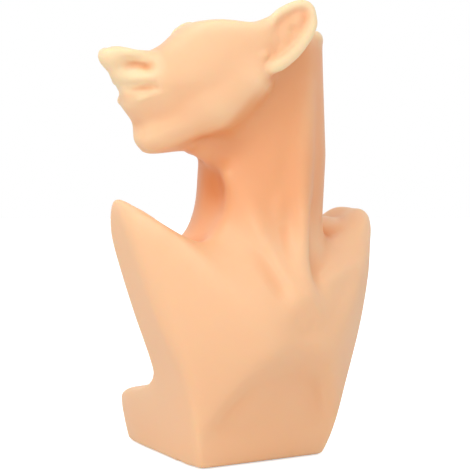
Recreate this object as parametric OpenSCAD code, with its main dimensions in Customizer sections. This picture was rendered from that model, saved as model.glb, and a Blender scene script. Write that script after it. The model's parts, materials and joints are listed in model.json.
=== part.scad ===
// Necklace stand: a one-piece moulded bust for necklaces and earrings. The
// lower half of a turned face, two ears, a long neck, pointed shoulders cut
// narrow, a tapering chest with the arch of the ribs, and a heel behind.
// Millimetres, Z up. The middle of the base stands on the origin, the chest
// looks along -Y and the face is turned to -X.
//
// The skin is one smooth field, negative inside the bust: a trunk drawn by
// tables over its height, a neck, the head, and the muscles, bones, lips and
// nose blended into them. Rings of rays fan out from a line inside the bust,
// and each ray stops where the field turns positive.

/* [Size] */
// Height to the top of the ears, mm; the whole bust grows with it
overall_height = 301; // [220:1:400]
// Width across the shoulder points, mm at the standard height
shoulder_width = 198; // [170:1:230]
// Width of the base along its front edge, mm at the standard height
base_width = 106; // [96:1:118]

/* [Chest] */
// How far the breastbone stands forward of the side edges, mm
chest_bulge = 46; // [30:1:52]
// Height of the arch under the ribs, mm
arch_height = 76; // [66:1:86]
// How sharply the sides close in towards the back, mm per mm
side_taper = 0.155; // [0.12:0.005:0.22]

/* [Heel] */
// How far the heel reaches back from the middle of the base, mm
heel_reach = 65; // [55:1:78]
// Height of the heel at its back, mm
heel_height = 41; // [34:1:48]

/* [Neck] */
// Radius of the neck, mm
neck_radius = 43; // [40:0.5:46]
// Size of the neck muscles that stand out, mm
muscle_size = 7; // [5:0.5:8]
// Size of the collar bones, mm
collar_size = 8; // [6:0.5:10]

/* [Face] */
// How far the tip of the nose stands from the neck line, mm
nose_reach = 114; // [110:0.5:118]
// Fullness of the lips, mm
lip_size = 5; // [4:0.25:6]
// Depth of the line between the lips, mm
mouth_depth = 3.4; // [1.5:0.1:4]
// Extra drop of the cut edge on the hidden side of the face, mm
far_drop = 14; // [6:1:20]

/* [Ears] */
// Thickness of the rolled rim of the ear, mm
ear_rim = 3; // [2.2:0.1:3.6]
// How far the back of the ear stands off the head, mm
ear_stand = 8; // [4:0.5:12]

/* [Hidden] */
design_height = 300.4;            // height that the tables below are drawn for
k = overall_height / design_height;
skin = [0.93, 0.70, 0.55];
columns = 64;                    // rays in a ring
half = columns / 2;
front_cols = 14;                 // from the breastbone to a front side edge
side_cols = 8;                   // along a side face
mid_y = -48;                     // middle plane of the turned face
edge_round = 1.5;                // rounding of the bottom edge
rim_round = 2.5;                 // rounding of the cut edge on top

// Tables over the height: half-width at the front edge as a share of the way
// from base to shoulder, Y of the front edge, Y of the back wall.
width_share = smooth([[0, 0], [15, .09], [60, .32], [97, .636], [134, .875],
                      [160, .989], [185, 1]]);
edge_y = smooth([[0, -66], [15, -70], [60, -74], [97, -70], [134, -65],
                 [160, -56], [185, -44]]);
h = heel_height;
back_y = smooth([[0, heel_reach], [h - 18, heel_reach], [h - 15, heel_reach - .2], [h - 6, heel_reach - 4],
                 [h, heel_reach - 20], [h + 4, 20], [h + 8, 0], [h + 14, -11],
                 [h + 29, -17], [90, -20], [112, -19], [132, -17], [152, -16], [165, -20],
                 [185, -30]]);
// Forward bulge of the ribs as a share of the full bulge, bulge of the hollow
// belly under them, and the height of the arch between the two over |X|.
rib_share = smooth([[0, 0], [20, .2], [40, .41], [60, .61], [78, .76], [108, .91],
                    [140, 1], [175, .96]]);
belly_out = smooth([[0, 0], [20, 2], [50, 11], [78, 22], [110, 40]]);
arch_z = smooth([[0, -4], [13, -5.5], [27, -13], [40, -30], [50, -52], [59, -76],
                 [74, -110]]);
// Height of the shoulder line over its inner end, over |X|.
shoulder_z = smooth([[0, 0], [30, 12.5], [49, 22], [60, 28.8], [75, 42.6], [88, 54.5],
                     [99, 61.5], [115, 67]]);

// Tables of the head: reach of the face and half-width over the height, lower
// edge of the jaw and cut edge over the distance forward of the neck line.
face_q = smooth([[200, 76], [206, 78], [212, 80], [218, 79], [224, 76], [229, 77],
                 [235, 81], [243, 86], [250, 89], [260, 88], [275, 85], [290, 82]]);
head_w = smooth([[200, 18], [210, 24], [220, 33], [230, 42], [240, 49],
                 [250, 54.5], [262, 59], [275, 61], [290, 61]]);
jaw_z = smooth([[-60, 292], [-10, 286], [4, 277], [13, 268], [20, 257], [25, 246.5],
                [30, 238], [42, 227], [52, 219.5], [62, 213.3], [75, 209], [95, 209]]);
cut_z = smooth([[-50, 284], [0, 285], [20, 287], [35, 286], [50, 287.5], [60, 287],
                [68, 284.5], [75, 278], [82, 270.5], [88, 267.5], [96, 269],
                [105, 272], [112, 271], [120, 266]]);

// Rings in groups. Each line: start of the rays (x, y, z), their slopes
// towards +X, -X, -Y and +Y, share of the cut edge followed, distance under
// it, rings up to the next line.
fans = [
  [0, -10, edge_round, 0, 0, 0, 0, 0, 0, 8],
  [0, -15, 48, 0, 0, 0, 0, 0, 0, 4],
  [0, -42, 72, .10, .10, 0, 0, 0, 0, 5],
  [0, -50, 88, .42, .42, 0, .1, 0, 0, 5],
  [0, -50, 88, .87, .87, .1, .85, 0, 0, 4],
  [0, -50, 66, 1.27, 1.27, .85, 1.9, 0, 0, 3],
  [0, -50, 50, 1.85, 1.85, 1.5, 2.9, 0, 0, 3],
  [2, -50, 112, 1.1, 1.1, .5, 1.3, 0, 0, 3],
  [2, -50, 150, .6, .6, .2, .5, 0, 0, 4],
  [5, -52, 186, 0, 0, 0, 0, 0, 0, 5],
  [0, -50, 228, -.4, -.8, -.25, -.25, 0, 0, 5],
  [-12, -48, 237, -.2, -.52, -.2, -.2, 0, 0, 5],
  [-22, -48, 243, 0, -.34, -.06, -.06, 0, 0, 9],
  [-28, -48, 252, 0, -.1, 0, 0, 0, 0, 6],
  [-30, -48, 268, 0, -.08, 0, 0, .3, rim_round, 3],
  [-30, -48, 268, 0, -.08, 0, 0, 1, rim_round, 2],
  [-30, -48, 268, 0, -.08, 0, 0, 1, .3, 1]
];
// Every ring: its number along the bust (the line number and the way to the
// next one) and its interpolated values.
rings = [for (i = [0:len(fans) - 1]) for (j = [0:fans[i][9] - 1])
  let (t = j / fans[i][9], a = fans[i], b = fans[min(i + 1, len(fans) - 1)])
    [i + t, [for (n = [0:8]) a[n] + (b[n] - a[n]) * t]]];

// Blends, ramps and smooth tables.
function clamp(x) = max(0, min(1, x));
function ramp(a, b, x) = let (t = clamp((x - a) / (b - a))) t * t * (3 - 2 * t);
function mix(a, b, t) = a + (b - a) * t;
function join(a, b, r) = let (g = max(r - abs(a - b), 0) / r) min(a, b) - g * g * r / 4;
function meet(a, b, r) = -join(-a, -b, r);
function smooth(t, n = 6) = [for (i = [0:len(t) - 2])
  let (a = t[i], b = t[i + 1],
       z = i > 0 ? t[i - 1] : 2 * a - b,
       c = i + 2 < len(t) ? t[i + 2] : 2 * b - a,
       d = b[0] - a[0],
       m1 = (b[1] - z[1]) / (b[0] - z[0]) * d,
       m2 = (c[1] - a[1]) / (c[0] - a[0]) * d)
  for (j = [0:i == len(t) - 2 ? n : n - 1])
    let (u = j / n, v = u * u, w = v * u)
      [a[0] + d * u, (2 * w - 3 * v + 1) * a[1] + (w - 2 * v + u) * m1
                     + (3 * v - 2 * w) * b[1] + (w - v) * m2]];

// Distance to a rod that runs from a to b and to an egg round c.
function rod(p, a, b, ra, rb) = let (d = b - a, t = clamp((p - a) * d / (d * d)))
  norm(p - a - t * d) - mix(ra, rb, t);
function egg(p, c, r) = let (d = p - c)
  (norm([d[0] / r[0], d[1] / r[1], d[2] / r[2]]) - 1) * min(r);

// Trunk: side faces, curved front with the arch of the ribs, back wall with
// the heel, and the slope of the shoulders.
function half_width(z) = mix(base_width / 2, shoulder_width / 2, lookup(z, width_share));
function trunk(p) =
  let (x = norm([p[0], 2]), y = p[1], z = p[2],
       w = half_width(z), yr = lookup(z, edge_y),
       t = min(x / w, 1.3), bow = 1 - t * t,
       above = ramp(-16, 16, z - arch_height - lookup(x, arch_z)),
       bulge = mix(lookup(z, belly_out), chest_bulge * lookup(z, rib_share), above),
       front = yr - bulge * bow - y,
       side = x - w + side_taper * (y - yr),
       back = y - lookup(z, back_y) - 6 * bow * ramp(60, 80, z),
       top = z - 99.5 - .22 * (y + 114) - lookup(x, shoulder_z) + .00025 * x * p[0],
       soft = mix(7, 12, ramp(60, 150, z)))
    meet(meet(meet(side * .97, front * .85, soft), back * .8, 9), top * .82,
         mix(34, 9, ramp(25, 80, x)));

// Neck, its muscles and the collar bones.
function neck(p) = p[2] < 205
  ? rod(p, [3, -50, 110], [8, -52, 205], neck_radius, neck_radius - .3)
  : rod(p, [8, -52, 205], [5.5, -50, 300], neck_radius - .3, neck_radius + .2);
function muscles(p, f) = let (m = muscle_size,
    a = join(f, rod(p, [12, -87, 246], [3, -103, 114], m - 1.5, m), 8),
    b = join(a, rod(p, [-41, -50, 208], [-28, -68, 189], m - 2, m - 1), 6),
    c = join(b, rod(p, [-28, -68, 189], [-2, -103, 112], m - 1, m), 14))
  meet(c, -egg(p, [-46, -60, 182], [14, 12, 17]), 8);
function collar(p, f) = let (x = abs(p[0]), m = collar_size - 5 * ramp(-5, -40, p[0]))
  join(f, rod([x, p[1], p[2]], [10, -99, 104], [86, -56, 158], m, m), 12);

// Head in its own directions: q forward, l sideways (the same on both sides).
function cut_edge(x, y) = let (q = -x)
  lookup(q, cut_z) - far_drop * ramp(30, -20, mid_y - y) * ramp(20, 60, q) * ramp(88, 75, q)
  + 8 * ramp(44, 62, abs(y - mid_y)) * ramp(34, 16, q) * ramp(-12, 4, q);
function head(p) =
  let (q = -p[0], l = norm([p[1] - mid_y, 3]) - 1.5, z = p[2], s = [q, l, z],
       a = q > 10 ? (q - 10) / (lookup(z, face_q) - 10) : (10 - q) / 25,
       b = l / lookup(z, head_w),
       skull = (pow(pow(a, 2.1) + pow(b, 2.1), 1 / 2.1) - 1) * (q > 10 ? 38 : 25),
       f1 = meet(skull, (lookup(q, jaw_z) + .14 * l * ramp(24, 44, q) - z) * mix(.5, .85, ramp(22, 38, q)), 16),
       f2 = join(f1, rod(s, [66, 8, 220.5], [44, 30, 233.5], 10.5, 9), 16),
       f3 = join(f2, rod(s, [44, 30, 233.5], [29, 47, 249.5], 9, 8), 16),
       f4 = z > 250 ? meet(f3, -egg(s, [11, 66, 280], [9, 11, 15]), 4) : f3)
    q < 40 ? f4 : face(s, f3);
function face(s, f) =
  let (chin = join(f, egg(s, [72.3, 0, 216.2], [13.6, 12, 12]), 8),
       muzzle = join(chin, egg(s, [73.5, 0, 247], [26, 22, 23]), 10),
       upper = join(muzzle, rod(s, [97.7, 0, 250.5], [85.5, 18, 248], lip_size, lip_size - 2), 7),
       lower = join(upper, rod(s, [92.5, 0, 238.8], [83.5, 18, 243], lip_size + .5, lip_size - 2.2), 5),
       mouth = meet(lower, -rod(s, [104, 0, 245.5], [86, 21.5, 244.6], mouth_depth, mouth_depth - 1.2), 3),
       tip = nose_reach - 8.5,
       bridge = rod(s, [tip, 0, 265.8], [tip - 16, 0, 280], 8, 8.5),
       wings = egg(s, [92, 9, 267.5], [12, 8, 8]),
       under = rod(s, [tip - 3, 0, 261.5], [97.5, 0, 253], 6.5, 5),
       nose = join(mouth, join(join(bridge, wings, 6), under, 5), 5))
    meet(nose, -rod(s, [101, 10.5, 260.5], [88, 17.5, 257.5], 2, 1.8), 3);

// The whole skin; each part is only asked where it can matter.
function skin_field(p) =
  let (z = p[2],
       n = neck(p),
       soft = 34 + ramp(10, -30, p[0]) * (9 * ramp(125, 165, z) + 26 * ramp(-55, -80, p[1])),
       a = z < 225 ? join(trunk(p), n, soft) : n,
       b = z > 90 && z < 264 ? muscles(p, a) : a,
       c = z > 80 && z < 190 ? collar(p, b) : b)
    z > 180 ? meet(join(c, head(p), 22), z - cut_edge(p[0], p[1]), 2 * rim_round) : c;

// Directions of a ring's rays. On the trunk two columns a side keep to the
// front edge and the back edge; on the head they crowd round the face.
function trunk_angles(v) =
  let (z = min(v[2] + v[3] * 80, 175), w = half_width(z), yr = lookup(z, edge_y),
       yb = lookup(z, back_y), wb = w - side_taper * (yb - yr),
       ar = atan2(yr - v[1], w) + 90, ab = atan2(yb - v[1], wb) + 90,
       m = front_cols + side_cols)
    [for (j = [0:half]) j < front_cols ? ar * j / front_cols
      : j < m ? mix(ar, ab, (j - front_cols) / side_cols)
      : mix(ab, 180, (j - m) / (half - m))];
function turn(a, b, t) = let (d = b - a, e = d - 360 * floor((d + 180) / 360)) a + e * t;
function ring_angles(r) =
  let (key = r[0], own = trunk_angles(r[1]),
       plain = clamp((key - 6) / 2), facing = ramp(8.5, 11, key))
    [for (j = [0:columns - 1])
      let (a = j <= half ? own[j] : -own[columns - j],
           b = 360 * j / columns,
           t = 360 * (j - columns * 3 / 4) / columns,
           c = t - 35 * sin(t) - 90)
        turn(turn(a, b, plain), c, facing)];
function ray_point(v, d, s, r) =
  let (x = v[0] + d[0] * r, y = v[1] + d[1] * r, z = v[2] + s * r)
    [x, y, v[7] > 0 ? mix(z, cut_edge(x, y) - v[8], v[7]) : z];
// Walks outwards in careful steps until the field is nearly zero, steps over
// the skin, then halves the gap.
function walk(v, d, s, r, n) =
  let (f = skin_field(ray_point(v, d, s, r)), g = norm([1, s]))
    n == 0 || f > -.6 ? step_over(v, d, s, r, f > 0 ? -1.2 : 1.2, f > 0, 110)
                      : walk(v, d, s, r - .75 * f / g, n - 1);
function step_over(v, d, s, r, step, outside, n) =
  let (q = r + step, f = skin_field(ray_point(v, d, s, q)))
    n == 0 || (f > 0) != outside
      ? (step > 0 ? halve(v, d, s, q - step, q, 7) : halve(v, d, s, q, q - step, 7))
      : step_over(v, d, s, q, step, outside, n - 1);
function halve(v, d, s, lo, hi, n) =
  let (m = (lo + hi) / 2)
    n == 0 ? m : skin_field(ray_point(v, d, s, m)) < 0 ? halve(v, d, s, m, hi, n - 1)
                                                        : halve(v, d, s, lo, m, n - 1);
function on_ray(v, a) =
  let (c = sin(a), e = -cos(a), d = [c, e],
       s = (c > 0 ? v[3] : v[4]) * c * c + (e < 0 ? v[5] : v[6]) * e * e)
    ray_point(v, d, s, walk(v, d, s, 12, 40));

// All rings, then the rounded bottom edge and the cut on top.
sides = [for (r = rings) let (a = ring_angles(r)) [for (j = [0:columns - 1]) on_ray(r[1], a[j])]];
base_mid = [0, -10];
top_mid = [-25, mid_y];
function inset(ring, mid, d) = [for (p = ring)
  let (e = [p[0], p[1]] - mid) mid + e * max(0, 1 - d / norm(e))];
function shrink(ring, mid, t) = [for (p = ring) mid + ([p[0], p[1]] - mid) * t];
function on_cut(flat) = [for (p = flat) [p[0], p[1], cut_edge(p[0], p[1])]];
rim = sides[len(sides) - 1];
loops = concat(
  [[for (p = inset(sides[0], base_mid, edge_round)) [p[0], p[1], 0]]],
  sides,
  [for (t = [.88, .72, .58, .42, .2]) on_cut(shrink(rim, top_mid, t))]);
last = len(loops) - 1;
spots = concat([for (l = loops) each l],
  [[base_mid[0], base_mid[1], 0], [top_mid[0], top_mid[1], cut_edge(top_mid[0], top_mid[1])]]);
// Each square of the net is cut along its shorter diagonal.
net = concat(
  [for (i = [0:last - 1]) for (j = [0:columns - 1])
    let (n = (j + 1) % columns, a = i * columns + j, b = i * columns + n,
         c = b + columns, d = a + columns)
      each norm(spots[a] - spots[c]) <= norm(spots[b] - spots[d])
        ? [[a, c, b], [a, d, c]] : [[a, d, b], [b, d, c]]],
  [for (j = [0:columns - 1]) let (n = (j + 1) % columns, s = last * columns)
    each [[len(spots) - 2, j, n], [len(spots) - 1, s + n, s + j]]]);

// Ear: balls along the rolled rim, from the root in front over the top and
// down the back to the lobe; each pair is drawn together with the bottom of
// the bowl. Points as distance forward, stand-off share, height and thickness.
ear_line = [[25, -.1, 281, 1], [23, .1, 287.5, 1], [19, .3, 292, 1],
            [14, .5, 294.8, 1], [9.5, .7, 297, 1], [5.2, .85, 297.8, 1],
            [1.8, .95, 297.2, 1.05], [-.8, 1, 294.8, 1.1], [-1.8, 1, 290.5, 1.2],
            [-2.2, 1, 286, 1.3], [-.2, 1, 281, 1.35], [3.6, .9, 275.2, 1.4],
            [7.2, .75, 270.2, 1.45], [12, .55, 265.2, 1.5], [18.8, .35, 260, 1.55],
            [25, .05, 257, 1.45]];
// The inner fold, from under the top of the rim down beside the bowl.
fold_line = [[10, .3, 292, .7], [5.5, .5, 289, .9], [2.5, .55, 283, .9], [5, .45, 275.5, .9],
             [11, .3, 270, .7]];
bowl = [8, 50.5, 280];
function ear_point(e) = [e[0], 59 + e[1] * ear_stand, e[2]];
module ball(at, r) { translate(at) sphere(r = r, $fn = 12); }
module fan_of(line) {
  for (i = [0:len(line) - 2]) hull() {
    ball(ear_point(line[i]), ear_rim * line[i][3]);
    ball(ear_point(line[i + 1]), ear_rim * line[i + 1][3]);
    ball(bowl, ear_rim);
  }
}
module ear() {
  fan_of(ear_line);
  fan_of(fold_line);
  // the small flap in front of the bowl
  hull() { ball([22, 57.5, 286], 3); ball([21.5, 58.5, 274], 3.6); ball([23, 57, 264], 3); }
}

// The one moulded piece.
module bust() {
  color(skin) scale(k) union() {
    polyhedron(points = spots, faces = net, convexity = 8);
    for (side = [-1, 1]) translate([0, mid_y, 0]) scale([-1, side, 1]) ear();
  }
}

bust();
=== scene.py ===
"""Looks of the moulded necklace stand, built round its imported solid.

The bust is one piece of satin, skin-coloured plastic. A copy of its solid is
made fine and smooth, as the real moulding is. Then small forms that a coarse
solid can't hold are worked into it: the line of the mouth, the folds of the
ear, the edges of the neck muscles and the valleys of the chest.
"""
from __future__ import annotations

import json
import logging
import math
from dataclasses import dataclass
from enum import Enum

import bpy
import numpy as np
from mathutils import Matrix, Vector

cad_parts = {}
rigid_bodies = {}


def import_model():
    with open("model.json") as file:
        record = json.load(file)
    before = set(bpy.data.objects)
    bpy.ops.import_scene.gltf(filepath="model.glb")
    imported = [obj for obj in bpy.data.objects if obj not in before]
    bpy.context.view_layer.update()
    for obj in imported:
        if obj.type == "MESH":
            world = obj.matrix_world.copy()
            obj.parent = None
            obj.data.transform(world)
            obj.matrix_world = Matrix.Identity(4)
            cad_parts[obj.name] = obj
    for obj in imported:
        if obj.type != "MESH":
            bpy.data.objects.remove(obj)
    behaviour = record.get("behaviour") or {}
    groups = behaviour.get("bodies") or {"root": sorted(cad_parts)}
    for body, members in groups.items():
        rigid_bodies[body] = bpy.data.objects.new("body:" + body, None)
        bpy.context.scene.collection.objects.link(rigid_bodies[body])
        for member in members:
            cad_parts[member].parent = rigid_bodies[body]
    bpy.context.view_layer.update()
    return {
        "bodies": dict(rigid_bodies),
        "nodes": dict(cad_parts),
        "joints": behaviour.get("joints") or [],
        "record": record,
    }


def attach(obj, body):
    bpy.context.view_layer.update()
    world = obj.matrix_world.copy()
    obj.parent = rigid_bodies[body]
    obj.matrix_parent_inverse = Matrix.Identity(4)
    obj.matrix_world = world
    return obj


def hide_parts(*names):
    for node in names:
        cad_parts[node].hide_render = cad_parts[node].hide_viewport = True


LOG = logging.getLogger("necklace_stand")
MM = 0.001


class Carve(Enum):
    """Which way a worked line moves the skin."""

    RAISE = 1.0
    SINK = -1.0


class Sides(Enum):
    """On which sides of the face a place is worked."""

    AS_DRAWN = "as drawn"
    BOTH_OF_FACE = "both sides of the face"


class Shop:
    """Small jobs on meshes."""

    @staticmethod
    def only(piece: bpy.types.Object) -> None:
        """Selects one piece alone and makes it active.

        Args:
            piece: The piece.
        """
        bpy.ops.object.select_all(action="DESELECT")
        piece.select_set(True)
        bpy.context.view_layer.objects.active = piece

    @classmethod
    def apply(cls, piece: bpy.types.Object, kind: str, **values: object) -> None:
        """Adds a modifier and applies it.

        Args:
            piece: The piece.
            kind: The modifier's kind.
            **values: Its settings.
        """
        cls.only(piece)
        made = piece.modifiers.new(kind.lower(), kind)
        for name, value in values.items():
            setattr(made, name, value)
        bpy.ops.object.modifier_apply(modifier=made.name)

    @staticmethod
    def spots(piece: bpy.types.Object) -> np.ndarray:
        """Reads where the piece's points are.

        Args:
            piece: The piece.

        Returns:
            A row for each point, metres.
        """
        made = np.empty(len(piece.data.vertices) * 3, np.float32)
        piece.data.vertices.foreach_get("co", made)
        return made.reshape(-1, 3).astype(float)

    @staticmethod
    def normals(piece: bpy.types.Object) -> np.ndarray:
        """Reads which way the skin faces at each of the piece's points.

        Args:
            piece: The piece.

        Returns:
            A row of length 1 for each point.
        """
        made = np.empty(len(piece.data.vertices) * 3, np.float32)
        piece.data.vertex_normals.foreach_get("vector", made)
        return made.reshape(-1, 3).astype(float)

    @staticmethod
    def place(piece: bpy.types.Object, spots: np.ndarray) -> None:
        """Moves the piece's points to new places, metres."""
        piece.data.vertices.foreach_set("co", spots.astype(np.float32).ravel())
        piece.data.update()

    @staticmethod
    def mirrored(spots: np.ndarray, face_y: float) -> np.ndarray:
        """The same places on the other side of the face's middle plane, mm."""
        return spots * (1, -1, 1) + (0, 2 * face_y, 0)

    @staticmethod
    def eased(share: np.ndarray) -> np.ndarray:
        """Shares from 0 to 1 with a soft start and a soft end."""
        return share * share * (3 - 2 * share)


class NodeKit:
    """Fills and joins shader nodes, and builds the group that the finishes share."""

    @staticmethod
    def socket(group: bpy.types.NodeTree, name: str, kind: str, way: str,
               value: float | None = None) -> None:
        """Adds a named socket to a group.

        Args:
            group: The node group.
            name: The socket's name.
            kind: Short socket kind, such as Float or Vector.
            way: INPUT or OUTPUT.
            value: Its default, where it has one.
        """
        made = group.interface.new_socket(name=name, in_out=way, socket_type="NodeSocket" + kind)
        if value is not None:
            made.default_value = value

    @staticmethod
    def fill(node: bpy.types.Node, values: dict[str, object]) -> None:
        """Sets a node's inputs by their names."""
        for name, value in values.items():
            node.inputs[name].default_value = value

    @staticmethod
    def join(tree: bpy.types.NodeTree, joins: tuple[tuple, ...]) -> None:
        """Links nodes, each link given as node, output, node, input."""
        for start, out, end, into in joins:
            tree.links.new(start.outputs[out], end.inputs[into])

    @classmethod
    def fine_grain(cls) -> bpy.types.NodeTree:
        """Fine grain of a moulded or coated surface.

        Returns:
            A group with Vector, Grain Scale, Cloud Scale and Cloud Share inputs,
            a Height output for a bump and a Patch output from 0 to 1 for slow
            changes over the surface.
        """
        group = bpy.data.node_groups.new("FineGrain", "ShaderNodeTree")
        cls.socket(group, "Vector", "Vector", "INPUT")
        cls.socket(group, "Grain Scale", "Float", "INPUT", 900.0)
        cls.socket(group, "Cloud Scale", "Float", "INPUT", 14.0)
        cls.socket(group, "Cloud Share", "Float", "INPUT", 0.3)
        cls.socket(group, "Height", "Float", "OUTPUT")
        cls.socket(group, "Patch", "Float", "OUTPUT")
        nodes = group.nodes
        start, end = nodes.new("NodeGroupInput"), nodes.new("NodeGroupOutput")
        grain, cloud = nodes.new("ShaderNodeTexNoise"), nodes.new("ShaderNodeTexNoise")
        cls.fill(grain, {"Detail": 3.0})
        cls.fill(cloud, {"Detail": 2.0})
        blend = nodes.new("ShaderNodeMix")
        blend.data_type = "FLOAT"
        start.location, grain.location, cloud.location = (-600, 0), (-350, 120), (-350, -140)
        blend.location, end.location = (0, 60), (300, 0)
        cls.join(group, (
            (start, "Vector", grain, "Vector"),
            (start, "Vector", cloud, "Vector"),
            (start, "Grain Scale", grain, "Scale"),
            (start, "Cloud Scale", cloud, "Scale"),
            (start, "Cloud Share", blend, "Factor"),
            (grain, "Fac", blend, "A"),
            (cloud, "Fac", blend, "B"),
            (blend, "Result", end, "Height"),
            (cloud, "Fac", end, "Patch"),
        ))
        return group


@dataclass(frozen=True)
class SatinSkinPlastic:
    """Skin-coloured plastic with a satin face that lets a little light in, with painted shade and
    painted glow in its colour.
    """

    name: str = "satin_skin_plastic"
    skin: tuple[float, float, float] = (0.94, 0.55, 0.31)
    # The next colour is painted shade for creases, pits and the neck under the jaw; the one after
    # it is painted glow for ridges, narrow edges and the front of the mouth and nose.
    painted_shade_colour: tuple[float, float, float] = (0.80, 0.30, 0.10)
    painted_glow: tuple[float, float, float] = (0.97, 0.74, 0.46)
    roughness: float = 0.42
    smoother: float = 0.05
    rougher: float = 0.07
    grain_scale: float = 1400.0
    cloud_scale: float = 18.0
    cloud_share: float = 0.25
    bump_strength: float = 0.05
    bump_height: float = 0.0002
    light_bend: float = 1.45
    light_depth: float = 0.006
    light_share: float = 0.35
    light_reach: tuple[float, float, float] = (1.0, 0.45, 0.2)

    def material(self, grain: bpy.types.NodeTree) -> bpy.types.Material:
        """Makes the plastic's material.

        Args:
            grain: The shared fine grain group.

        Returns:
            The material. It reads the skin's painted shade and painted glow attributes.
        """
        made = bpy.data.materials.new(self.name)
        made.use_nodes = True
        nodes = made.node_tree.nodes
        shader = nodes["Principled BSDF"]
        place = nodes.new("ShaderNodeTexCoord")
        hollow, painted_glow = nodes.new("ShaderNodeAttribute"), nodes.new("ShaderNodeAttribute")
        hollow.attribute_name, painted_glow.attribute_name = "hollow", "painted_glow"
        fine = nodes.new("ShaderNodeGroup")
        fine.node_tree = grain
        NodeKit.fill(fine, {"Grain Scale": self.grain_scale, "Cloud Scale": self.cloud_scale,
                            "Cloud Share": self.cloud_share})
        # Painted shade and painted glow: the skin colour is mixed towards the shade colour, then
        # towards the glow colour, by the two attributes.
        tint_painted_shade, tint_painted_glow = nodes.new("ShaderNodeMix"), nodes.new("ShaderNodeMix")
        for mix in (tint_painted_shade, tint_painted_glow):
            mix.data_type = "RGBA"
        NodeKit.fill(tint_painted_shade, {"A": (*self.skin, 1), "B": (*self.painted_shade_colour, 1)})
        NodeKit.fill(tint_painted_glow, {"B": (*self.painted_glow, 1)})
        rough = nodes.new("ShaderNodeMapRange")
        NodeKit.fill(rough, {"To Min": self.roughness - self.smoother,
                             "To Max": self.roughness + self.rougher})
        bump = nodes.new("ShaderNodeBump")
        NodeKit.fill(bump, {"Strength": self.bump_strength, "Distance": self.bump_height})
        NodeKit.fill(shader, {"IOR": self.light_bend, "Subsurface Weight": self.light_share,
                              "Subsurface Radius": self.light_reach,
                              "Subsurface Scale": self.light_depth})
        place.location, fine.location = (-1100, 0), (-850, -150)
        hollow.location, painted_glow.location = (-850, 300), (-850, 120)
        tint_painted_shade.location, tint_painted_glow.location = (-500, 300), (-280, 250)
        rough.location, bump.location = (-500, 0), (-280, -250)
        NodeKit.join(made.node_tree, (
            (place, "Object", fine, "Vector"),
            (hollow, "Fac", tint_painted_shade, "Factor"),
            (painted_glow, "Fac", tint_painted_glow, "Factor"),
            (tint_painted_shade, "Result", tint_painted_glow, "A"),
            (tint_painted_glow, "Result", shader, "Base Color"),
            (fine, "Patch", rough, "Value"),
            (rough, "Result", shader, "Roughness"),
            (fine, "Height", bump, "Height"),
            (bump, "Normal", shader, "Normal"),
        ))
        return made


@dataclass(frozen=True)
class PaleFloor:
    """Matt white floor that shows white to the camera and keeps the shadow."""

    name: str = "pale_floor"
    colour: tuple[float, float, float] = (0.85, 0.85, 0.85)
    roughness: float = 0.9
    gloss: float = 0.1
    bump_strength: float = 0.04
    bump_height: float = 0.0003
    lift: float = 0.6

    def material(self, grain: bpy.types.NodeTree) -> bpy.types.Material:
        """Makes the floor's material.

        Args:
            grain: The shared fine grain group.

        Returns:
            The material.
        """
        made = bpy.data.materials.new(self.name)
        made.use_nodes = True
        nodes = made.node_tree.nodes
        shader, out = nodes["Principled BSDF"], nodes["Material Output"]
        place, fine = nodes.new("ShaderNodeTexCoord"), nodes.new("ShaderNodeGroup")
        fine.node_tree = grain
        bump = nodes.new("ShaderNodeBump")
        ray, pick = nodes.new("ShaderNodeLightPath"), nodes.new("ShaderNodeMath")
        pick.operation = "MULTIPLY"
        pick.inputs[1].default_value = self.lift
        glow, both = nodes.new("ShaderNodeEmission"), nodes.new("ShaderNodeAddShader")
        NodeKit.fill(shader, {"Base Color": (*self.colour, 1), "Roughness": self.roughness,
                              "Specular IOR Level": self.gloss})
        NodeKit.fill(bump, {"Strength": self.bump_strength, "Distance": self.bump_height})
        NodeKit.join(made.node_tree, (
            (place, "Object", fine, "Vector"),
            (fine, "Height", bump, "Height"),
            (bump, "Normal", shader, "Normal"),
            (ray, "Is Camera Ray", pick, 0),
            (pick, "Value", glow, "Strength"),
            (shader, "BSDF", both, 0),
            (glow, "Emission", both, 1),
            (both, "Shader", out, "Surface"),
        ))
        return made


@dataclass(frozen=True)
class WorkedLine:
    """A line worked into the skin, along points in mm.

    Attributes:
        width: Reach to either side, mm.
        depth: How far the skin moves at the line's middle, mm.
        fade: Share of the length over which either end dies away.
        end_share: What is left of the depth at the very ends.
        fall: How fast the line dies away beside itself.
    """

    name: str
    points: tuple[tuple[float, float, float], ...]
    width: float
    depth: float
    way: Carve
    sides: Sides = Sides.AS_DRAWN
    fade: float = 0.25
    end_share: float = 0.15
    fall: float = 2.0

    def drawn(self, face_y: float) -> list[np.ndarray]:
        """The line, and its mirror image where it has one.

        Args:
            face_y: The face's middle plane, mm.

        Returns:
            One array of points for each copy, mm.
        """
        line = np.array(self.points, float)
        if self.sides is Sides.BOTH_OF_FACE:
            return [line, Shop.mirrored(line, face_y)]
        return [line]

    def weight(self, spots: np.ndarray, face_y: float) -> np.ndarray:
        """How much each point of the skin feels the line.

        Args:
            spots: Points of the skin, mm.
            face_y: The face's middle plane, mm.

        Returns:
            A share from 0 to 1 for each point.
        """
        felt = np.zeros(len(spots))
        for line in self.drawn(face_y):
            legs = np.linalg.norm(np.diff(line, axis=0), axis=1)
            run = np.concatenate([[0], np.cumsum(legs)])
            for start, stop, before, leg in zip(line[:-1], line[1:], run[:-1], legs):
                way = stop - start
                part = np.clip((spots - start) @ way / (way @ way), 0, 1)
                off = spots - start - part[:, None] * way
                far = np.linalg.norm(off, axis=1) / self.width
                along = (before + part * leg) / run[-1]
                end = np.clip(np.minimum(along, 1 - along) / self.fade, 0, 1)
                end = self.end_share + (1 - self.end_share) * Shop.eased(end)
                felt = np.maximum(felt, np.exp(-far * far * self.fall) * end)
        return felt


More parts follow.
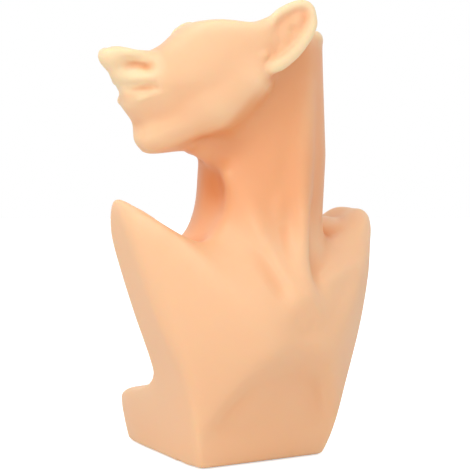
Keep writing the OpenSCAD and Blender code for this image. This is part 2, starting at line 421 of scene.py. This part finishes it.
@dataclass(frozen=True)
class MeltedForm:
    """An egg-shaped body that melts into the skin, placed in mm and degrees."""

    name: str
    centre: tuple[float, float, float]
    radii: tuple[float, float, float]
    turn: tuple[float, float, float] = (0.0, 0.0, 0.0)
    sides: Sides = Sides.AS_DRAWN
    segments: int = 48
    rings: int = 24

    def cast(self, face_y: float) -> list[bpy.types.Object]:
        """Makes the body, and its mirror image where it has one.

        Args:
            face_y: The face's middle plane, mm.

        Returns:
            The loose bodies, ready to be joined to the skin.
        """
        centre = np.array(self.centre, float)
        a, b, c = self.turn
        copies = [(centre, (a, b, c))]
        if self.sides is Sides.BOTH_OF_FACE:
            copies.append((Shop.mirrored(centre, face_y), (-a, b, -c)))
        made = []
        for middle, turn in copies:
            bpy.ops.mesh.primitive_uv_sphere_add(segments=self.segments, ring_count=self.rings,
                                                 radius=MM)
            egg = bpy.context.active_object
            egg.name = self.name
            egg.scale = self.radii
            egg.rotation_euler = tuple(math.radians(v) for v in turn)
            egg.location = tuple(float(v) * MM for v in middle)
            bpy.ops.object.transform_apply(location=True, rotation=True, scale=True)
            made.append(egg)
        return made


@dataclass(frozen=True)
class SoftPatch:
    """A round place, in mm, where the skin is relaxed until its pits are gone.

    Attributes:
        rounds: How often the place is smoothed.
        rim: Share of the radius over which the patch dies away.
        steps: Steps in which it dies away.
        factor: Strength of each round.
    """

    name: str
    centre: tuple[float, float, float]
    radius: float
    rounds: int
    sides: Sides = Sides.AS_DRAWN
    rim: float = 0.5
    steps: int = 8
    factor: float = 0.5

    def relax(self, skin: bpy.types.Object, face_y: float) -> None:
        """Smooths the skin inside the patch, most at its centre.

        Args:
            skin: The piece.
            face_y: The face's middle plane, mm.
        """
        spots = Shop.spots(skin) / MM
        centre = np.array(self.centre, float)
        gap = np.linalg.norm(spots - centre, axis=1)
        if self.sides is Sides.BOTH_OF_FACE:
            other = Shop.mirrored(centre, face_y)
            gap = np.minimum(gap, np.linalg.norm(spots - other, axis=1))
        share = np.clip((self.radius - gap) / (self.rim * self.radius), 0, 1)
        group = skin.vertex_groups.new(name=self.name)
        for step in range(1, self.steps + 1):
            near = np.flatnonzero(np.ceil(share * self.steps) == step)
            group.add([int(i) for i in near], step / self.steps, "REPLACE")
        Shop.apply(skin, "SMOOTH", factor=self.factor, iterations=self.rounds,
                   vertex_group=self.name)
        skin.vertex_groups.clear()


@dataclass(frozen=True)
class EarZone:
    """The room round both ears, in mm, where the solid's folds are left to melt.

    Attributes:
        side: How far either room's middle is from the face's middle plane.
        inner: Where the rooms begin to end, as a share of their radii.
        fade: How long they take to end, as a share of their radii.
    """

    x: float = -12.0
    side: float = 58.0
    height: float = 280.0
    radii: tuple[float, float, float] = (30.0, 16.0, 30.0)
    inner: float = 0.9
    fade: float = 0.4

    def outside(self, spots: np.ndarray, face_y: float) -> np.ndarray:
        """How far out of the room each point is.

        Args:
            spots: Points of the skin, mm.
            face_y: The face's middle plane, mm.

        Returns:
            A share for each point: 0 at the ears, 1 away from them.
        """
        gap = np.abs(spots - (self.x, face_y, self.height)) - (0, self.side, 0)
        far = np.linalg.norm(gap / self.radii, axis=1)
        return np.clip((far - self.inner) / self.fade, 0, 1)


@dataclass(frozen=True)
class Ramp:
    """A measure in mm at which something begins, and the length it takes to be full."""

    start: float
    length: float

    def share(self, measure: np.ndarray) -> np.ndarray:
        """How far up the ramp each measure is, from 0 to 1."""
        return np.clip((measure - self.start) / self.length, 0, 1)


@dataclass(frozen=True)
class PaintedShadeSpot:
    """A place, in mm, where painted shade is laid a little deeper, or painted light a little
    paler, than around it.
    """

    name: str
    centre: tuple[float, float, float]
    radius: float
    amount: float

    def shade(self, spots: np.ndarray) -> np.ndarray:
        """How much painted shade the spot adds at each point, mm; below 0 it is painted light."""
        gap = np.linalg.norm(spots - self.centre, axis=1) / self.radius
        return self.amount * np.exp(-gap * gap)


@dataclass(frozen=True)
class PaintedShading:
    """Painted light and shade in the plastic's colour, with bends per mm and places in mm.

    Creases and pits get painted shade, and ridges and narrow edges a painted glow,
    standing in for light that passes through the plastic. The front of the mouth
    and nose gets the most painted glow. The neck below the jaw's slanting edge
    gets a painted shadow of the head, apart from the ears over it.
    """

    blur_rounds: int = 60
    hollow_bend: float = 0.09
    glow_bend: float = 0.12
    glow_height: Ramp = Ramp(190, 40)
    glow_least: float = 0.25
    muzzle_front: Ramp = Ramp(80, 12)
    muzzle_height: Ramp = Ramp(238, 8)
    muzzle_glow: float = 0.85
    jaw_height: float = 215.0
    jaw_front: float = 53.0
    jaw_slope: float = 1.8
    jaw_fade: float = 16.0
    neck_height: Ramp = Ramp(138, 42)
    neck_front: Ramp = Ramp(-50, 14)
    neck_shadow: float = 0.62
    ear_side: Ramp = Ramp(55, 4)
    ear_height: Ramp = Ramp(250, 8)
    ear_shade_relief: float = 0.5
    shortest_edge: float = 1e-6

    def bend(self, skin: bpy.types.Object) -> np.ndarray:
        """How sharply the skin bends, spread over each point's surroundings.

        Args:
            skin: The piece.

        Returns:
            A bend for each point, per mm: above 0 on a ridge, below 0 in a pit or crease.
        """
        spots, normals = Shop.spots(skin), Shop.normals(skin)
        pairs = np.empty(len(skin.data.edges) * 2, np.int64)
        skin.data.edges.foreach_get("vertices", pairs)
        a, b = pairs.reshape(-1, 2).T
        step = spots[b] - spots[a]
        run = np.maximum(np.einsum("ij,ij->i", step, step), self.shortest_edge ** 2)
        turn = np.einsum("ij,ij->i", step, normals[b] - normals[a]) / run
        total, count = np.zeros(len(spots)), np.zeros(len(spots))
        for end in (a, b):
            np.add.at(total, end, turn)
            np.add.at(count, end, 1)
        count = np.maximum(count, 1)
        bend = total / count * MM
        for _ in range(self.blur_rounds):
            near = np.zeros(len(spots))
            np.add.at(near, a, bend[b])
            np.add.at(near, b, bend[a])
            bend = 0.5 * bend + 0.5 * near / count
        return bend

    def write(self, skin: bpy.types.Object, face_y: float, painted_spots: tuple[PaintedShadeSpot, ...]) -> None:
        """Writes the two attributes that the plastic reads: painted shade and painted glow.

        Args:
            skin: The piece.
            face_y: The face's middle plane, mm.
            painted_spots: Spots of painted shade or painted light.
        """
        spots, bend = Shop.spots(skin) / MM, self.bend(skin)
        forward, side, height = -spots[:, 0], np.abs(spots[:, 1] - face_y), spots[:, 2]
        # Painted shade in creases and pits, and painted glow on ridges and narrow edges, fuller on
        # the head than lower down.
        hollow = np.clip(-bend / self.hollow_bend, 0, 1)
        painted_glow = np.clip(bend / self.glow_bend, 0, 1)
        painted_glow *= np.maximum(self.glow_height.share(height), self.glow_least)
        # Painted glow over the front of the mouth and nose, except in its creases.
        muzzle = self.muzzle_front.share(forward) * self.muzzle_height.share(height)
        painted_glow = np.maximum(painted_glow, self.muzzle_glow * muzzle * (1 - hollow))
        # A painted shadow of the head on the neck below the jaw's slanting edge, kept off the
        # ears, which also get less painted shade.
        ears = self.ear_side.share(side) * self.ear_height.share(height)
        jaw = self.jaw_height + (self.jaw_front - forward) * self.jaw_slope
        neck = np.clip((jaw - height) / self.jaw_fade, 0, 1) * (1 - ears)
        neck *= self.neck_height.share(height) * self.neck_front.share(forward)
        hollow = np.maximum(hollow, self.neck_shadow * Shop.eased(neck))
        hollow *= 1 - self.ear_shade_relief * ears
        # Spots of painted shade, or of painted light where their amount is below 0.
        for painted_spot in painted_spots:
            hollow = np.clip(hollow + painted_spot.shade(spots), 0, 1)
        for name, values in (("hollow", hollow), ("painted_glow", painted_glow)):
            made = skin.data.attributes.new(name, "FLOAT", "POINT")
            made.data.foreach_set("value", values.astype(np.float32))


@dataclass(frozen=True)
class MouldedBust:
    """The whole bust: chest, heel, shoulders, neck, half face and ears.

    Attributes:
        weld: Points of the solid closer than this are one, metres.
        quad_angle: Triangles that bend less than this are paired, radians.
        hold: Share of the rounding loss that is given back beforehand.
        foot: Height over which that share grows from nothing, mm.
        ear_zone: Where nothing is given back.
        levels: Subdivision levels.
        voxel: Size of the fine skin's faces, metres.
        smooth_rounds: Pairs of a smoothing in and a smoothing out.
        finish_rounds: Smoothings after the lines are worked.
        face_y: The face's middle plane, mm.
        box_inset: How far the skin keeps inside the solid's box, metres.
        most_triangles: The finished skin's triangles at the most.
    """

    lines: tuple[WorkedLine, ...]
    forms: tuple[MeltedForm, ...]
    patches: tuple[SoftPatch, ...]
    # Spots of painted shade and painted light.
    painted_spots: tuple[PaintedShadeSpot, ...]
    node: str = "bust"
    weld: float = 0.02 * MM
    quad_angle: float = 0.7
    hold: float = 0.55
    foot: Ramp = Ramp(0, 12)
    ear_zone: EarZone = EarZone()
    levels: int = 2
    voxel: float = 1.0 * MM
    smooth_rounds: int = 12
    smooth_in: float = 0.5
    smooth_out: float = -0.4
    finish_rounds: int = 2
    finish_smooth: float = 0.4
    face_y: float = -48.0
    box_inset: float = 1e-6
    most_triangles: int = 180000
    # Painted shade and painted glow written into the skin's colour.
    painted_shading: PaintedShading = PaintedShading()

    def copy_solid(self, frame: dict) -> bpy.types.Object:
        """Copies the solid's mesh into a new piece and welds it.


        Returns:
            The new piece.
        """
        skin = bpy.data.objects.new("bust_skin", frame["nodes"][self.node].data.copy())
        bpy.context.scene.collection.objects.link(skin)
        skin.data.materials.clear()
        Shop.only(skin)
        bpy.ops.object.mode_set(mode="EDIT")
        bpy.ops.mesh.select_all(action="SELECT")
        bpy.ops.mesh.remove_doubles(threshold=self.weld)
        bpy.ops.mesh.tris_convert_to_quads(face_threshold=self.quad_angle,
                                           shape_threshold=self.quad_angle)
        bpy.ops.object.mode_set(mode="OBJECT")
        return skin

    def refine(self, skin: bpy.types.Object) -> None:
        """Makes the skin fine and takes out the flats of the solid.

        Rounding a mesh draws it in, so the corners are first moved out by a
        share of what a trial copy loses. The ears are left out of this, because
        their folds melt, and so is the foot, because it stands flat.

        Args:
            skin: The piece.
        """
        aim = Shop.spots(skin)
        share = self.ear_zone.outside(aim / MM, self.face_y) * self.hold
        share *= self.foot.share(aim[:, 2] / MM)
        trial = skin.copy()
        trial.data = skin.data.copy()
        bpy.context.scene.collection.objects.link(trial)
        Shop.apply(trial, "SUBSURF", levels=self.levels, render_levels=self.levels)
        lost = aim - Shop.spots(trial)[:len(aim)]
        bpy.data.objects.remove(trial)
        Shop.place(skin, aim + lost * share[:, None])
        Shop.apply(skin, "SUBSURF", levels=self.levels, render_levels=self.levels)

    def melt(self, skin: bpy.types.Object) -> None:
        """Melts the small bodies into the skin, smooths it and relaxes the patches.

        Args:
            skin: The piece.
        """
        eggs = [egg for form in self.forms for egg in form.cast(self.face_y)]
        Shop.only(skin)
        for egg in eggs:
            egg.select_set(True)
        bpy.ops.object.join()
        Shop.apply(skin, "REMESH", mode="VOXEL", voxel_size=self.voxel, adaptivity=0.0)
        for _ in range(self.smooth_rounds):
            Shop.apply(skin, "SMOOTH", factor=self.smooth_in, iterations=1)
            Shop.apply(skin, "SMOOTH", factor=self.smooth_out, iterations=1)
        for patch in self.patches:
            patch.relax(skin, self.face_y)

    def work(self, skin: bpy.types.Object) -> None:
        """Works the fine lines into the skin, along its own normals.

        Args:
            skin: The piece.
        """
        spots, normals = Shop.spots(skin) / MM, Shop.normals(skin)
        move = np.zeros(len(spots))
        for line in self.lines:
            move += line.way.value * line.depth * line.weight(spots, self.face_y)
        Shop.place(skin, (spots + normals * move[:, None]) * MM)
        Shop.apply(skin, "SMOOTH", factor=self.finish_smooth, iterations=self.finish_rounds)

    def build(self, frame: dict, plastic: bpy.types.Material) -> bpy.types.Object:
        """Builds and dresses the bust.

        Args:
            plastic: Its material.

        Returns:
            The finished piece, which stays inside the solid's own box.
        """
        skin = self.copy_solid(frame)
        solid = Shop.spots(skin)
        low, high = solid.min(0) + self.box_inset, solid.max(0) - self.box_inset
        self.refine(skin)
        self.melt(skin)
        self.work(skin)
        Shop.place(skin, np.clip(Shop.spots(skin), low, high))
        triangles = len(skin.data.polygons) * 2  # every face has four sides here
        if triangles > self.most_triangles:
            Shop.apply(skin, "DECIMATE", ratio=self.most_triangles / triangles)
        # Paints shade and glow into the skin as attributes that the plastic reads.
        self.painted_shading.write(skin, self.face_y, self.painted_spots)
        skin.data.materials.append(plastic)
        Shop.only(skin)
        bpy.ops.object.shade_smooth()
        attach(skin, "root")
        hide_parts(self.node)
        return skin


@dataclass(frozen=True)
class SoftLamp:
    """A large square lamp that looks at the bust, with sizes in metres and watts."""

    name: str
    place: tuple[float, float, float]
    size: float
    power: float
    colour: tuple[float, float, float] = (1.0, 1.0, 1.0)

    def hang(self, look_at: Vector) -> None:
        """Makes the lamp and turns it to the bust.

        Args:
            look_at: The point that the lamp looks at, metres.
        """
        data = bpy.data.lights.new(self.name, "AREA")
        data.shape, data.size = "SQUARE", self.size
        data.energy, data.color = self.power, self.colour
        lamp = bpy.data.objects.new(self.name, data)
        lamp.location = self.place
        lamp.rotation_euler = (look_at - Vector(self.place)).to_track_quat("-Z", "Y").to_euler()
        bpy.context.scene.collection.objects.link(lamp)


@dataclass(frozen=True)
class Studio:
    """Pale floor, soft light, white surroundings and the photograph's view.

    Places are in metres, angles in degrees, and the lens and sensor in mm.
    """

    eye: tuple[float, float, float] = (-0.5311, -0.8187, 0.1749)
    heading: float = 34.0
    pitch: float = 1.4455
    lens: float = 106.24
    sensor: float = 36.0
    nearest: float = 0.05
    farthest: float = 50.0
    floor_radius: float = 12.0
    floor_corners: int = 64
    sky: float = 0.7
    look_at: tuple[float, float, float] = (0.0, -0.04, 0.16)
    lamps: tuple[SoftLamp, ...] = (
        SoftLamp("key", (-1.3, -0.55, 1.45), 1.2, 11.0, (1.0, 0.98, 0.96)),
        SoftLamp("front", (-0.5, -1.4, 1.3), 1.2, 5.0),
        SoftLamp("low", (-1.2, -1.2, 0.35), 1.2, 1.5),
    )

    def set_up(self, grain: bpy.types.NodeTree) -> None:
        """Makes the floor, lamps, surroundings and camera.

        Args:
            grain: The shared fine grain group.
        """
        bpy.ops.mesh.primitive_circle_add(vertices=self.floor_corners, radius=self.floor_radius,
                                          fill_type="NGON", location=(0, 0, 0))
        floor = bpy.context.active_object
        floor.name = "floor"
        floor.data.materials.append(PaleFloor().material(grain))
        for lamp in self.lamps:
            lamp.hang(Vector(self.look_at))
        self.surround()
        self.point_camera()
        bpy.context.scene.view_settings.view_transform = "Standard"

    def surround(self) -> None:
        """White behind the bust for the camera, soft grey light on it."""
        world = bpy.data.worlds.new("studio")
        bpy.context.scene.world = world
        world.use_nodes = True
        nodes = world.node_tree.nodes
        ray, back = nodes.new("ShaderNodeLightPath"), nodes["Background"]
        seen, more = nodes.new("ShaderNodeMath"), nodes.new("ShaderNodeMath")
        for either in (seen, more):
            either.operation = "MAXIMUM"
        level = nodes.new("ShaderNodeMapRange")
        NodeKit.fill(level, {"To Min": self.sky, "To Max": 1.0})
        NodeKit.fill(back, {"Color": (1, 1, 1, 1)})
        NodeKit.join(world.node_tree, (
            (ray, "Is Camera Ray", seen, 0),
            (ray, "Is Glossy Ray", seen, 1),
            (seen, "Value", more, 0),
            (ray, "Is Transmission Ray", more, 1),
            (more, "Value", level, "Value"),
            (level, "Result", back, "Strength"),
        ))

    def point_camera(self) -> None:
        """Stands the camera where the photograph was taken from."""
        data = bpy.data.cameras.new("photo_view")
        data.sensor_width, data.lens = self.sensor, self.lens
        data.clip_start, data.clip_end = self.nearest, self.farthest
        camera = bpy.data.objects.new("photo_view", data)
        camera.location = self.eye
        camera.rotation_euler = (math.radians(90 - self.pitch), 0, math.radians(-self.heading))
        bpy.context.scene.collection.objects.link(camera)
        bpy.context.scene.camera = camera


FINE_LINES: tuple[WorkedLine, ...] = (
    # The face: the gap of the mouth and the lower lip are filled out, and the
    # fronts of the lips and chin and the crease beside the nose are drawn in.
    WorkedLine("mouth_fill", ((-96, -55, 246.4), (-89.3, -63.8, 245.8), (-85, -69.5, 244.8)),
               2.6, 0.9, Carve.RAISE, Sides.BOTH_OF_FACE, fade=0.1),
    WorkedLine("lip_front", ((-94, -28, 237), (-99.5, -45, 238), (-94, -62, 237)),
               8.5, 2.4, Carve.SINK, fade=0.5),
    WorkedLine("upper_front", ((-96, -38, 249), (-100, -48, 249), (-96, -58, 249)),
               6.0, 1.2, Carve.SINK, fade=0.5),
    WorkedLine("chin_front", ((-86, -33, 220), (-91, -48, 220), (-86, -63, 221)),
               8.0, 1.8, Carve.SINK, fade=0.5),
    WorkedLine("lower_lip", ((-94.3, -58.6, 236.5), (-90, -66.1, 239.3), (-86, -70, 242.5)),
               2.4, 0.8, Carve.RAISE, Sides.BOTH_OF_FACE),
    WorkedLine("nostril", ((-98, -58.5, 261), (-92.5, -62.5, 260), (-89, -65.5, 257.5)),
               2.2, 1.0, Carve.SINK, Sides.BOTH_OF_FACE),
    # The neck and breast: the muscle and the valley beside it, then the pits
    # that are filled over the breastbone, at the far collar and up the neck.
    WorkedLine("muscle", ((-27.8, -86.3, 170), (-22.9, -94.8, 150.4), (-12.4, -105.3, 127.6),
                          (-3, -112.5, 107)),
               7.0, 1.3, Carve.RAISE),
    WorkedLine("muscle_valley", ((-26, -94, 147), (-22.5, -100, 134), (-19, -106, 120),
                                 (-13, -111, 108)),
               8.0, 0.8, Carve.SINK),
    WorkedLine("breast_pit", ((-7, -110.5, 97), (10, -106.5, 96)),
               9.0, 1.2, Carve.RAISE, fade=0.5),
    WorkedLine("far_collar", ((12, -105, 119), (41.1, -94.8, 127.5), (70, -85, 133)),
               9.0, 1.6, Carve.RAISE),
    WorkedLine("neck_side", ((17, -94.5, 265), (17, -94.5, 226), (16, -96, 190), (17, -93.5, 165)),
               9.0, 1.0, Carve.RAISE, fade=0.15),
    WorkedLine("neck_rim", ((14, -90, 284), (26, -87, 283), (33, -80, 282), (38, -70, 281)),
               6.0, 3.0, Carve.RAISE, fade=0.5),
    # The ears: the bowl, and the fuller skin in front of the lobe.
    WorkedLine("concha", ((-9.5, -112, 285), (-11.5, -112, 279)),
               4.0, 1.4, Carve.SINK, Sides.BOTH_OF_FACE),
    WorkedLine("lobe_front", ((-30, -107.5, 270), (-27, -108, 261)),
               5.0, 1.6, Carve.RAISE, Sides.BOTH_OF_FACE, fade=0.5),
)

FORMS: tuple[MeltedForm, ...] = (
    MeltedForm("throat_pad", (-37, -57, 213), (15, 11, 9), (0, 0, -36), Sides.BOTH_OF_FACE),
    MeltedForm("neck_pad", (-4.5, -90.3, 166), (7, 5.6, 17)),
    MeltedForm("shoulder_pad", (62, -43, 148.5), (30, 21, 16)),
    MeltedForm("shoulder_fill", (66, -50, 146), (18, 16, 11)),
    MeltedForm("ear_fold", (-6.5, -110, 288.5), (6.5, 5.0, 8), (0, 28.8, -19),
               Sides.BOTH_OF_FACE),
    MeltedForm("ear_foot", (-17, -107, 269.5), (6, 4, 6), (0, 28.8, -19), Sides.BOTH_OF_FACE),
    MeltedForm("ear_pad", (-11.8, -107.4, 281), (12, 5.4, 18.5), (0, 28.8, -19),
               Sides.BOTH_OF_FACE),
)

PATCHES: tuple[SoftPatch, ...] = (
    SoftPatch("lips", (-99.5, -45, 242), 12, 60, Sides.BOTH_OF_FACE),
    SoftPatch("nose_side", (-93, -62, 259.5), 9.5, 40, Sides.BOTH_OF_FACE),
    SoftPatch("notch", (13, -97, 143), 22, 160),
    SoftPatch("throat", (-40, -64, 213), 22, 160, Sides.BOTH_OF_FACE),
    SoftPatch("neck_upper", (-5, -94.5, 176), 15, 90),
    SoftPatch("neck_lower", (-6, -96, 157), 14, 90),
    SoftPatch("far_shoulder", (67, -42, 159), 34, 130),
    SoftPatch("breast", (-1, -109.5, 98), 14, 70),
    SoftPatch("ear", (-11.5, -111.5, 281), 15, 12, Sides.BOTH_OF_FACE),
)

# Painted shade at the throat pit and beside the nose and mouth; painted light on the throat's
# ridge and beside the ear.
PAINTED_SHADE_SPOTS: tuple[PaintedShadeSpot, ...] = (
    PaintedShadeSpot("throat_hollow", (-34, -60, 185), 14, 0.5),
    PaintedShadeSpot("throat_ridge", (-43, -57, 204), 10, -0.5),
    PaintedShadeSpot("beside_ear", (-8, -110, 262), 12, -0.3),
    PaintedShadeSpot("nose_side", (-97, -58, 260), 7, 0.12),
    PaintedShadeSpot("mouth_side", (-94, -57.5, 243), 6, 0.1),
)


def main() -> None:
    """Builds the stand and its studio."""
    logging.basicConfig(level=logging.INFO, format="%(message)s")
    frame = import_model()
    grain = NodeKit.fine_grain()
    Studio().set_up(grain)
    bust = MouldedBust(FINE_LINES, FORMS, PATCHES, PAINTED_SHADE_SPOTS)
    piece = bust.build(frame, SatinSkinPlastic().material(grain))
    LOG.info("%s: %d faces", piece.name, len(piece.data.polygons))


if __name__ == "__main__":
    main()
